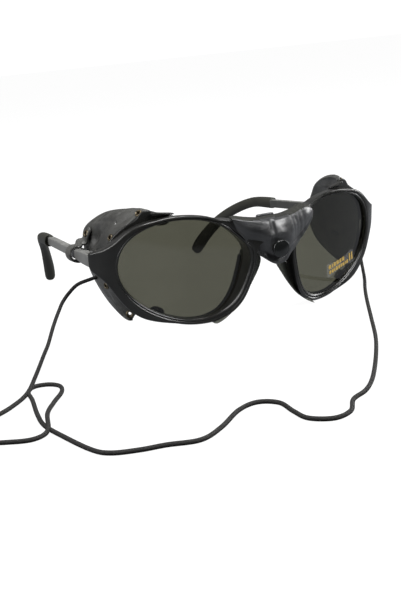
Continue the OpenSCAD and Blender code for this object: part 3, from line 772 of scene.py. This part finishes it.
# ---- nose pads ----
# Inner edge of a pad and the edge that meets the rim, from the bridge down, as (share, x, height).
PAD_INNER = [(0, 6.4, 6.6), (0.1, 3.9, 4.2), (0.22, 3.0, 0.8), (0.34, 4.1, -2.6), (0.5, 6.4, -6.6), (0.66, 8.9, -10.7),
             (0.8, 11.3, -14.5), (0.92, 13.8, -17.2), (1, 16.2, -18.9)]
PAD_ANGLES = (166, 234)


def add_pads():
    steps = 40
    for side, name in ((-1, "right"), (1, "left")):
        rings = []
        for i in range(steps + 1):
            f = i / steps
            end = math.sqrt(max(0.0, 1 - abs(2 * f - 1) ** 8))
            t = mix(*PAD_ANGLES, f)
            near = Vector(egg(t, RIM_W - 0.5 * math.sin(math.radians(t)) + 0.12))
            seat = Vector(egg(t, 0.9))
            rim = Vector(egg(t, 2.2))
            edge = Vector(through(PAD_INNER, f))
            edge.x += 0.10 * math.cos(2 * math.pi * 13 * f) * smooth((f - 0.25) * 6) * smooth((0.75 - f) * 6)
            edge = near.lerp(edge, end)
            reach = (edge - near).length

            def at(base, to, share, depth):
                p = base.lerp(to, share)
                slant = 0.3 * (depth + 3.4) * min(1, reach / 3)
                x = min(p.x + slant, near.x if base is near else p.x)
                return to_table(x if base is near else p.x, depth, p.y)

            depth0 = -3.4 + 1.4 * (1 - end)
            ring = [at(near, edge, 0.02, depth0 + 0.5), at(near, edge, 0.35, depth0 + 0.05),
                    at(near, edge, 0.75, depth0), at(near, edge, 0.95, depth0 + 0.15), at(near, edge, 1, depth0 + 0.7),
                    at(near, edge, 1, 0), at(near, edge, 1, 3), at(near, edge, 0.98, 5.4), at(near, edge, 0.85, 6.1),
                    at(near, edge, 0.3, 6.3), at(rim, seat, 0.5, 6.3), at(rim, seat, 1, 5.9), at(rim, seat, 1, 4.6),
                    at(rim, seat, 0.1, 4.3), at(near, edge, 0.02, 3.6)]
            rings.append(ring)
        obj = make("soft_nose_pad_" + name, skin(rings), PAD_RUBBER, side, 1)
        settle(obj, ["nose_pad_" + name])


add_pads()


# ---- nose cover: leather folded over the bridge ----
# Ridge and lower edge from the wearer's right to the left, as (share, x, y, z) on the table.
RIDGE_KEYS = [(0, -17.9, -8.2, 44.5), (0.2, -12.5, -11.2, 42.9), (0.4, -6, -13.6, 42.0), (0.6, 3, -14.0, 42.2),
              (0.75, 9.5, -12.4, 42.9), (0.88, 15.8, -9.6, 44.1), (1, 21, -6.3, 43.1)]
HEM_KEYS = [(0, -17.4, -7.9, 43.3), (0.1, -15.9, -8.5, 39.3), (0.22, -12.6, -9.8, 34.4), (0.33, -8.6, -10.9, 29.2),
            (0.42, -4.3, -11.3, 25.2), (0.5, -0.8, -11.5, 23.4), (0.58, 3.4, -11.2, 23.7), (0.67, 7, -10.6, 26.6),
            (0.76, 11.4, -9.8, 30), (0.86, 16.6, -8, 34.2), (0.94, 21.4, -6, 39), (1, 22.2, -5.6, 42)]


def cover_front(f, v):
    """Outer face of the cover: f runs across, v from the ridge (0) down to the hem (1)."""
    top = Vector(through(RIDGE_KEYS, f))
    hem = Vector(through(HEM_KEYS, f))
    p = top.lerp(hem, v)
    height = (top - hem).length / 20
    belly = 2.4 * math.sin(math.pi * min(1, v * 1.25)) * height
    hollow = 3.0 * bump(p.x, -9, 5.5) * bump(p.z, 31.5, 4.2)
    pull = 1.1 * bump(p.x, 11.5, 3.2) * bump(p.z, 35, 5)
    crease = 0.75 * bump(p.x + 0.10 * (p.z - 36), -2.4, 0.7) * smooth((p.z - 29) / 5) * smooth((46 - p.z) / 2.5)
    wrinkle = 0.0
    for place, deep, wide in ((6.6, 0.34, 0.6), (8.6, 0.4, 0.65), (10.8, 0.32, 0.7), (13.4, 0.26, 0.8)):
        wrinkle += deep * bump(p.x - 0.25 * (43 - p.z), place, wide) * smooth((p.z - 30) / 6)
    around_snap = math.hypot(p.x - 0.3, p.z - 30.6)
    dimple = 0.9 * bump(around_snap, 0, 4.6) - 0.35 * bump(around_snap, 6.2, 1.6)
    ripple = 0.22 * noise.noise(Vector((p.x * 0.35, 0, p.z * 0.35)))
    forward = belly - hollow - pull - crease - wrinkle - dimple + ripple
    return Vector((p.x, p.y - forward + MID_Y, p.z))


def add_cover():
    columns, rows = 64, 34
    roof = ((5.4, 1.75), (4.6, 1.7), (3.5, 1.5), (2.3, 1.15), (1.2, 0.75), (0.4, 0.35))
    grid = []
    for i in range(columns + 1):
        f = i / columns
        ridge = cover_front(f, 0)
        side = 0.5 + 0.5 * smooth(min(f, 1 - f) * 7)
        line = [ridge + Vector((0, back * side, rise * (0.35 + 0.65 * side))) for back, rise in roof]
        line += [cover_front(f, 1 - (1 - j / rows) ** 1.15 if j < rows else 1) for j in range(rows + 1)]
        grid.append(line)
    lines = len(grid[0])
    points = [p for line in grid for p in line]
    faces = [(i * lines + j, (i + 1) * lines + j, (i + 1) * lines + j + 1, i * lines + j + 1)
             for i in range(columns) for j in range(lines - 1)]
    obj = make("nose_cover_leather", (points, faces), [NOSE_LEATHER, ROOF_AND_EDGE_LEATHER], 1, 0)
    # faces above 43 mm that look up take the darker second leather, as the cut rims do
    for face in obj.data.polygons:
        middle = sum((obj.data.vertices[i].co.z - 0 for i in face.vertices), 0) / len(face.vertices)
        if face.normal.z > 0.75 and middle / MM > 43:
            face.material_index = 1
    facing = sum(face.normal.y for face in obj.data.polygons)
    solid = obj.modifiers.new("thickness", "SOLIDIFY")
    solid.thickness = 1.1 * MM
    solid.offset = -1 if facing < 0 else 1
    solid.use_even_offset = False
    solid.material_offset_rim = 1
    smoothing = obj.modifiers.new("smooth", "SUBSURF")
    smoothing.levels = smoothing.render_levels = 1
    settle(obj, ["nose_cover"])
    flap = placed((0, -3.3, 43.8), (0, -3.3, 41), (0, -3.6, 37.5), (0, -5.2, 35.4), (0, -8.0, 34.6), (0, -9.0, 33),
                  (0, -9.1, 30), (0, -9.4, 27), (0, -9.8, 25.4))
    shape = band(resampled(flap, 4), 8.2, 1.2, (1, 0, 0), 0.4)
    settle(make("nose_cover_rear_flap", shape, NOSE_LEATHER, 1, 1))


def add_snap():
    axis = to_table(0, -1, 0) - to_table(0, 0, 0)
    centre = to_table(0, front_y(0), 7.9) + axis * 1.55
    cap = [(0, 1.42), (1.4, 1.38), (2.5, 1.2), (3.15, 0.92), (3.35, 0.95), (3.62, 0.85), (3.74, 0.55), (3.7, 0.2),
           (3.5, 0.02), (1.2, 0.0), (1.15, -1.6), (0, -1.6)]
    obj = make("snap_button", lathe(cap, centre, axis, 48), SNAP_BLACK, 1, 1)
    settle(obj, ["snap_cap"])


add_cover()
add_snap()


# ---- side shields ----
def shield_mid(u, v, side):
    """Middle of the leather with its own dents and folds, a little different left and right."""
    p = shield_at(u, v)
    n = shield_normal(u, v)
    seed = 3.7 if side > 0 else 0
    sag = 0.45 * noise.noise(Vector((u * 7 + seed, v * 4, 0))) + 0.18 * noise.noise(Vector((u * 19, v * 11 + seed, 2)))
    pinch = 2.9 * bump(u, 0.41, 0.08) * bump(v, 0.56, 0.10)
    flare = 1.3 * bump(u, 0.37, 0.09) * smooth((v - 0.58) / 0.35)
    droop = Vector((-3.2, 0, -0.8)) * (bump(u, 0.66, 0.16) * smooth((v - 0.2) / 0.8) if side > 0 else 0)
    fold = 0.45 * bump(u - 0.12 * v, 0.17, 0.018) * smooth(v * 3) * smooth((1 - v) * 3)
    crown = 0.5 * bump(u, 0.14, 0.08) * bump(v, 0.5, 0.3)
    away = smooth(v * 6) * smooth((1 - v) * 8)
    return p + droop + n * ((sag - fold + crown) * away - pinch + flare - SHIELD_T / 2), n


def edge_steps(count, fine=(0, 0.004, 0.014, 0.03)):
    """Steps from 0 to 1 that crowd at both ends."""
    inner = [mix(fine[-1], 1 - fine[-1], i / count) for i in range(1, count)]
    return list(fine) + inner + [1 - f for f in reversed(fine)]


# Share of the sheet that a rounded corner takes along the edge, and how deep it cuts at the top and the bottom.
CORNER_ALONG, CORNER_DEEP, CORNER_TOP, CORNER_LOW, CORNER_REAR = 0.05, 0.10, 0.3, 1.6, 1.4
SHEET_FROM, SHEET_TO = 0.012, 0.985


def shield_shape(side):
    us, vs = edge_steps(84, (0, 0.0025, 0.008, 0.016)), edge_steps(34, (0, 0.005, 0.018, 0.04))
    points, faces = [], []
    for layer in (1, -1):
        for u in us:
            for v in vs:
                corner = CORNER_DEEP * (1 - math.sqrt(1 - (1 - clamp(min(u, 1 - u) / CORNER_ALONG)) ** 2))
                inset = corner * (CORNER_TOP if u < 0.5 else CORNER_LOW)
                mid, n = shield_mid(mix(SHEET_FROM, SHEET_TO, u), mix(inset, 1 - CORNER_REAR * corner, v), side)
                edge = min(u * 95, (1 - u) * 95, v * 36, (1 - v) * 36)
                round_off = math.sqrt(1 - (1 - clamp(edge / (SHIELD_T / 2))) ** 2)
                points.append(mid + n * layer * SHIELD_T / 2 * round_off)
    nu, nv = len(us), len(vs)
    for layer in range(2):
        for i in range(nu - 1):
            for j in range(nv - 1):
                a = layer * nu * nv + i * nv + j
                quad = (a, a + 1, a + nv + 1, a + nv)
                faces.append(quad if layer else tuple(reversed(quad)))
    return points, faces


def cylinder(place, axis, r, half_length, segments=20, stretch=None, factor=1.0):
    """A plain cutter; stretch lengthens it along one direction."""
    up = axis.normalized()
    side = (stretch - up * stretch.dot(up)).normalized() if stretch else up.orthogonal().normalized()
    across = up.cross(side)
    rings = []
    for h in (-half_length, half_length):
        rings.append([place + up * h + side * math.cos(2 * math.pi * i / segments) * r * factor
                      + across * math.sin(2 * math.pi * i / segments) * r for i in range(segments)])
    return skin(rings)


def on_shield(spot, side, lift=0.0):
    mid, n = shield_mid(*spot, side)
    return mid + n * (SHIELD_T / 2 + lift), n


def eyelet(place, n, grip):
    profile = [(0.5, -grip - 0.3), (0.8, -0.3), (0.82, 0.3), (0.92, 0.58), (1.2, 0.68),
               (1.52, 0.52), (1.68, 0.22), (1.62, 0.03), (1.15, 0.0), (1.06, -0.3), (1.06, -grip),
               (1.5, -grip - 0.05), (1.55, -grip - 0.3), (1.2, -grip - 0.5)]
    return lathe(profile, place, n, 28)


SLIT_SPOT, ROUND_SPOT, LOW_SPOT = (0.21, 0.28), (0.34, 0.36), (0.77, 0.53)


def add_shields():
    for side, name in ((-1, "right"), (1, "left")):
        obj = make("leather_shield_" + name, shield_shape(side), SHIELD_LEATHER, side, 0, 1)
        cuts = []
        for spot in VENT_SPOTS + (STRAP_SPOT, CORD_SPOT):
            place, n = on_shield(spot, side)
            cuts.append(cylinder(place, n, 0.95, 3))
        for spot, r, factor in ((ROUND_SPOT, 0.42, 1), (LOW_SPOT, 0.4, 1), (SLIT_SPOT, 0.3, 3.4)):
            place, n = on_shield(spot, side)
            cuts.append(cylinder(place, n, r, SHIELD_T * 0.75, 16, Vector((0, 0.35, 1)), factor))
        cut(obj, make("cutter", joined(*cuts), SHIELD_LEATHER, side, 0, 1))
        settle(obj, ["shield_" + name], None)
        crossing(obj)
        rings = [eyelet(*on_shield(spot, side), SHIELD_T) for spot in VENT_SPOTS]
        vents = make("vent_eyelets_" + name, joined(*rings), BRASS, side, 1)
        apply_modifiers(vents)
        settle(vents, ["shield_eyelets_" + name], None)
        crossing(vents)


def crossing(obj):
    """Bakes the piece's placement into its mesh."""
    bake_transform(obj)


add_shields()


# ---- clips that hold the shields behind the rims ----
CLIP_KEYS = [(-88, 0.9, 2.4), (-84, 0.6, 4.6), (-74, 0.5, 4.9), (-66, 0.5, 4.2), (-60, 0.5, 3.6), (40, 0.5, 3.6),
             (50, 0.5, 4.0), (57, 0.6, 5.9), (62, 0.6, 5.9), (67, 0.6, 4.3), (73, 0.8, 2.6), (79, 0.9, 1.8)]


def clip_sweep(t0, t1, steps, keys, depth=(0.15, 1.4)):
    rings = []
    for i in range(steps + 1):
        f = i / steps
        t = mix(t0, t1, f)
        k0, k1 = through(keys, t)
        end = math.sqrt(max(0.02, 1 - abs(2 * f - 1) ** 12))
        middle = (k0 + k1) / 2
        k0, k1 = mix(middle, k0, end), mix(middle, k1, end)
        ring = []
        for k, d in rounded_box(k0, k1, depth[0], depth[1], 0.35):
            x, z = egg(t, k)
            ring.append(to_table(x, rear_y(x) + d, z))
        rings.append(ring)
    return skin(rings)


def add_clips():
    for side, name in ((-1, "right"), (1, "left")):
        tabs = [clip_sweep(61, 77, 14, [(61, -0.6, 0.8), (65, -2.0, 0.8), (73, -2.2, 0.8), (77, -1.0, 0.8)]),
                clip_sweep(-88, -76, 14, [(-88, -0.9, 0.8), (-85, -1.7, 0.8), (-79, -1.6, 0.8), (-76, -0.4, 0.8)])]
        hooks = [clip_sweep(62, 80, 12, [(62, 3.1, 5.4), (70, 2.8, 3.7), (80, 2.1, 2.6)], (-1.6, 0.6)),
                 clip_sweep(-85, -68, 12, [(-85, 3.1, 4.4), (-76, 3.2, 4.6), (-68, 3.1, 4.2)], (-1.2, 0.6))]
        shape = joined(clip_sweep(-88, 80, 110, CLIP_KEYS), *tabs, *hooks)
        settle(make("shield_clip_body_" + name, shape, CLIP_BLACK, side, 1), ["shield_clip_" + name])


add_clips()


# ---- strap loops ----
STRAP_Y, LOOP_X, LOOP_Z, LOOP_R, STRAP_T = 48.6, 65.5, 31.4, 3.5, 1.2


def strap_path(side):
    """Middle of the strap: a tab on the leather, down to the temple and once around it."""
    place = on_shield(STRAP_SPOT, side, STRAP_T / 2 + 0.05)[0]
    up = on_shield((STRAP_SPOT[0] - 0.045, STRAP_SPOT[1]), side, STRAP_T / 2 + 0.1)[0]
    down = on_shield((STRAP_SPOT[0] + 0.05, STRAP_SPOT[1]), side, STRAP_T / 2 + 0.5)[0]
    loop = []
    for a in range(100, -215, -22):
        r = LOOP_R + 0.22 * math.sin(math.radians(2 * a + 40))
        loop.append(Vector((LOOP_X + r * math.cos(math.radians(a)), STRAP_Y + MID_Y,
                            LOOP_Z + r * math.sin(math.radians(a)))))
    bend = down.lerp(loop[0], 0.55) + Vector((0, 0, 0.35))
    return resampled([up, place, down, bend] + loop, 4)


def add_straps():
    for side, name in ((-1, "right"), (1, "left")):
        path = strap_path(side)
        last = len(path) - 1
        _, n0 = on_shield(STRAP_SPOT, side)
        rings = []
        for i, p in enumerate(path):
            along = (path[min(i + 1, last)] - path[max(i - 1, 0)]).normalized()
            flat = n0.cross(along)
            if flat.y < 0:
                flat.negate()
            w = flat.normalized().lerp(Vector((0.55, 0.8, 0)), smooth((i - 5) / 5)).lerp(
                Vector((0, 1, 0)), smooth((i - 11) / 8))
            w = (w - along * w.dot(along)).normalized()
            n = along.cross(w)
            tip = math.sqrt(1 - (1 - clamp(i / 5)) ** 2) if i < 5 else 1
            width = mix(1.2, 4.6 + 0.5 * smooth((i - 8) / 8), tip)
            rings.append([p + w * a + n * b
                          for a, b in rounded_box(-width / 2, width / 2, -STRAP_T / 2, STRAP_T / 2, 0.35)])
        obj = make("strap_loop_" + name, skin(rings), STRAP_LEATHER, side, 1)
        apply_modifiers(obj)
        settle(obj, ["strap_" + name], None)
        crossing(obj)
        place, n = on_shield(STRAP_SPOT, side, STRAP_T + 0.02)
        n = (n + Vector((0, -0.35, 0.1))).normalized()
        ring = make("strap_eyelet_ring_" + name, eyelet(place, n, SHIELD_T + STRAP_T), BRASS, side, 1)
        apply_modifiers(ring)
        settle(ring, ["strap_eyelet_" + name], None)
        crossing(ring)


add_straps()


# ---- temples ----
TEMPLE = (Matrix.Translation((HALF_SPAN, HINGE_Y + MID_Y, HINGE_Z)) @ Matrix.Rotation(BAR_FALL, 4, "X")
          @ Matrix.Rotation(SPLAY, 4, "Z"))
# (distance from the hinge seam, inner face, outer face, half height)
BAR_KEYS = [(0.5, -1.5, -0.25, 2.45), (0.75, -1.5, -0.05, 2.65), (4.5, -1.5, 0, 2.7), (4.8, -1.6, 0, 2.7),
            (4.9, -4.3, 0, 2.7), (5.3, -4.35, 0, 2.7), (13, -4.25, 0, 2.68), (15, -4.1, -0.05, 2.6),
            (20, -3.6, -0.05, 2.2), (24, -3.4, 0, 2.05), (30, -3.4, 0, 2.0), (45, -3.4, 0, 2.0),
            (60, -3.4, 0, 2.0), (73, -3.4, 0, 2.0), (75, -3.3, -0.1, 1.9), (75.3, -2.7, -0.7, 1.3),
            (85.5, -2.7, -0.7, 1.3), (86, -2.5, -0.9, 1.1)]
SLEEVE_PATH = placed((60.8, 96.6, 30.8), (60.6, 97.4, 30.8), (59.8, 104, 30.8), (58.9, 111, 30.5), (57.7, 117, 29.5),
                     (55.6, 124, 27.3), (53, 131, 24.2), (50.2, 138, 20), (47.6, 144.5, 15), (45.4, 150, 9.8),
                     (43.9, 154, 5.4), (43.1, 156.5, 2.4), (42.8, 157.4, 1.3))
# (share of the sleeve's path, width, height)
SLEEVE_KEYS = [(0, 4.3, 4.9), (0.09, 4.9, 5.6), (0.17, 4.9, 5.5), (0.25, 4.7, 5.2), (0.33, 4.6, 5.1), (0.42, 4.2, 5.1),
               (0.5, 4.0, 5.2), (0.58, 4.1, 5.5), (0.67, 4.7, 5.9), (0.75, 5.2, 6.2), (0.83, 5.4, 6.2),
               (0.92, 4.8, 5.2), (1, 1.6, 1.8)]


def add_temples():
    for side, name in ((-1, "right"), (1, "left")):
        body = "temple_" + name
        rings = []
        for y, x0, x1, half in BAR_KEYS:
            ring = rounded_box(x0, x1, -half, half, min(0.55, (x1 - x0) / 2.6))
            rings.append([TEMPLE @ Vector((x, y, z)) for x, z in ring])
        bar = skin(rings)
        hinge = joined(knuckle(31.05, 32.85), lug(65.9, 68.3, 25.2, 28.4, 31.1, 32.8))
        settle(make("temple_bar_" + name, bar, TEMPLE_GREYS[side], side, 2), [body], body)
        settle(make("temple_knuckle_" + name, hinge, TEMPLE_GREYS[side], side, 0), [], body)
        path = resampled(SLEEVE_PATH, 5)
        last = len(path) - 1
        rings = []
        for i, p in enumerate(path):
            along = (path[min(i + 1, last)] - path[max(i - 1, 0)]).normalized()
            s = along.cross(Vector((0, 0, 1))).normalized()
            up = s.cross(along)
            w, h = through(SLEEVE_KEYS, i / last)
            if i == 0:
                rings.append([p + s * x + up * z for x, z in rounded_box(-1.5, 1.5, -1.85, 1.85, 0.7, 4)])
                rings.append([p + s * x + up * z for x, z in rounded_box(-2.0, 2.0, -2.35, 2.35, 1.0, 4)])
            r = min(w, h) * 0.42
            rings.append([p + along * (0.25 if i == 0 else 0) + s * x + up * z
                          for x, z in rounded_box(-w / 2, w / 2, -h / 2, h / 2, r, 4)])
        settle(make("temple_sleeve_" + name, skin(rings), TIP_RUBBER, side, 1),
               ["temple_tip_" + name], body)


add_temples()


# ---- small CAD pieces that stay as they are ----
for node_name, material in (("snap_socket", STEEL), ("snap_stud", STEEL), ("snap_post", SNAP_BLACK),
                            ("hinge_screw_right", STEEL), ("hinge_screw_left", STEEL)):
    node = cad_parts[node_name]
    node.data.materials.clear()
    node.data.materials.append(material)


# ---- floor, world and lights ----
def seen_white(nodes, links):
    """1 for rays from the camera or through a lens, so that the backdrop shows clean white there."""
    path = nodes.new("ShaderNodeLightPath")
    either = nodes.new("ShaderNodeMath")
    either.operation = "MAXIMUM"
    links.new(path.outputs["Is Camera Ray"], either.inputs[0])
    links.new(path.outputs["Is Transmission Ray"], either.inputs[1])
    return either.outputs[0]


def add_stage():
    """White paper under the glasses; it lights their undersides only a little."""
    reach = 6.0
    mesh = bpy.data.meshes.new("floor")
    corners = [(-reach, -reach, 0), (reach, -reach, 0), (reach, reach, 0), (-reach, reach, 0)]
    mesh.from_pydata(corners, [], [(0, 1, 2, 3)])
    material, nodes, links, shader = new_material("floor_white")
    grain = noise_node(nodes, links, coordinates(nodes, links, 1.0), 3, 2)
    links.new(ramp(nodes, links, grain, [(0, (0.08, 0.08, 0.08)), (1, (0.1, 0.1, 0.1))]),
              shader.inputs["Base Color"])
    shader.inputs["Roughness"].default_value = 0.9
    shader.inputs["Specular IOR Level"].default_value = 0.1
    glow = nodes.new("ShaderNodeEmission")
    glow.inputs["Strength"].default_value = 0.96
    both = nodes.new("ShaderNodeAddShader")
    links.new(shader.outputs["BSDF"], both.inputs[0])
    links.new(glow.outputs["Emission"], both.inputs[1])
    grey = nodes.new("ShaderNodeEmission")
    depth = nodes.new("ShaderNodeSeparateXYZ")
    links.new(coordinates(nodes, links, 1.0), depth.inputs["Vector"])
    reach_y = nodes.new("ShaderNodeMapRange")
    reach_y.inputs["From Min"].default_value = -0.137
    reach_y.inputs["From Max"].default_value = -0.129
    links.new(depth.outputs["Y"], reach_y.inputs["Value"])
    sheet = ramp(nodes, links, reach_y.outputs["Result"], [(0, (0.05, 0.05, 0.05)), (1, (0.3, 0.31, 0.33))])
    links.new(sheet, grey.inputs["Color"])
    pick = nodes.new("ShaderNodeMixShader")
    links.new(seen_white(nodes, links), pick.inputs["Fac"])
    links.new(grey.outputs["Emission"], pick.inputs[1])
    links.new(both.outputs["Shader"], pick.inputs[2])
    links.new(pick.outputs["Shader"], nodes["Material Output"].inputs["Surface"])
    mesh.materials.append(material)
    floor = bpy.data.objects.new("floor", mesh)
    bpy.context.scene.collection.objects.link(floor)


def add_world():
    """White behind the glasses; the room that they reflect is dim in front and brighter behind."""
    world = bpy.data.worlds.new("studio")
    world.use_nodes = True
    nodes, links = world.node_tree.nodes, world.node_tree.links
    place = nodes.new("ShaderNodeTexCoord")
    split = nodes.new("ShaderNodeSeparateXYZ")
    links.new(place.outputs["Generated"], split.inputs["Vector"])
    shade = ramp(nodes, links, split.outputs["Y"], [(0.0, (0.05, 0.05, 0.05)), (0.7, (0.25, 0.25, 0.25))])
    pick = nodes.new("ShaderNodeMix")
    pick.data_type = "RGBA"
    pick.inputs["B"].default_value = (1, 1, 1, 1)
    links.new(seen_white(nodes, links), pick.inputs["Factor"])
    links.new(shade, pick.inputs["A"])
    links.new(pick.outputs["Result"], nodes["Background"].inputs["Color"])
    nodes["Background"].inputs["Strength"].default_value = 1.05
    bpy.context.scene.world = world


def add_light(name, place, target, size, power_w):
    data = bpy.data.lights.new(name, "AREA")
    data.shape = "RECTANGLE"
    data.size, data.size_y = size
    data.energy = power_w
    light = bpy.data.objects.new(name, data)
    light.location = place
    light.rotation_mode = "QUATERNION"
    light.rotation_quaternion = (Vector(target) - Vector(place)).to_track_quat("-Z", "Y")
    bpy.context.scene.collection.objects.link(light)


add_stage()
add_world()
add_light("key", (0.55, -1.05, 0.72), (0, 0, 0.03), (0.6, 0.3), 17)
add_light("top", (-0.08, -0.1, 1.2), (0, 0, 0.03), (0.5, 0.35), 15)
add_light("left", (-1.1, 0.0, 0.5), (-0.05, -0.03, 0.03), (0.25, 0.9), 9)
add_light("right", (1.2, 0.15, 0.42), (0, 0, 0.03), (0.25, 0.8), 7)
bpy.context.scene.view_settings.view_transform = "Standard"
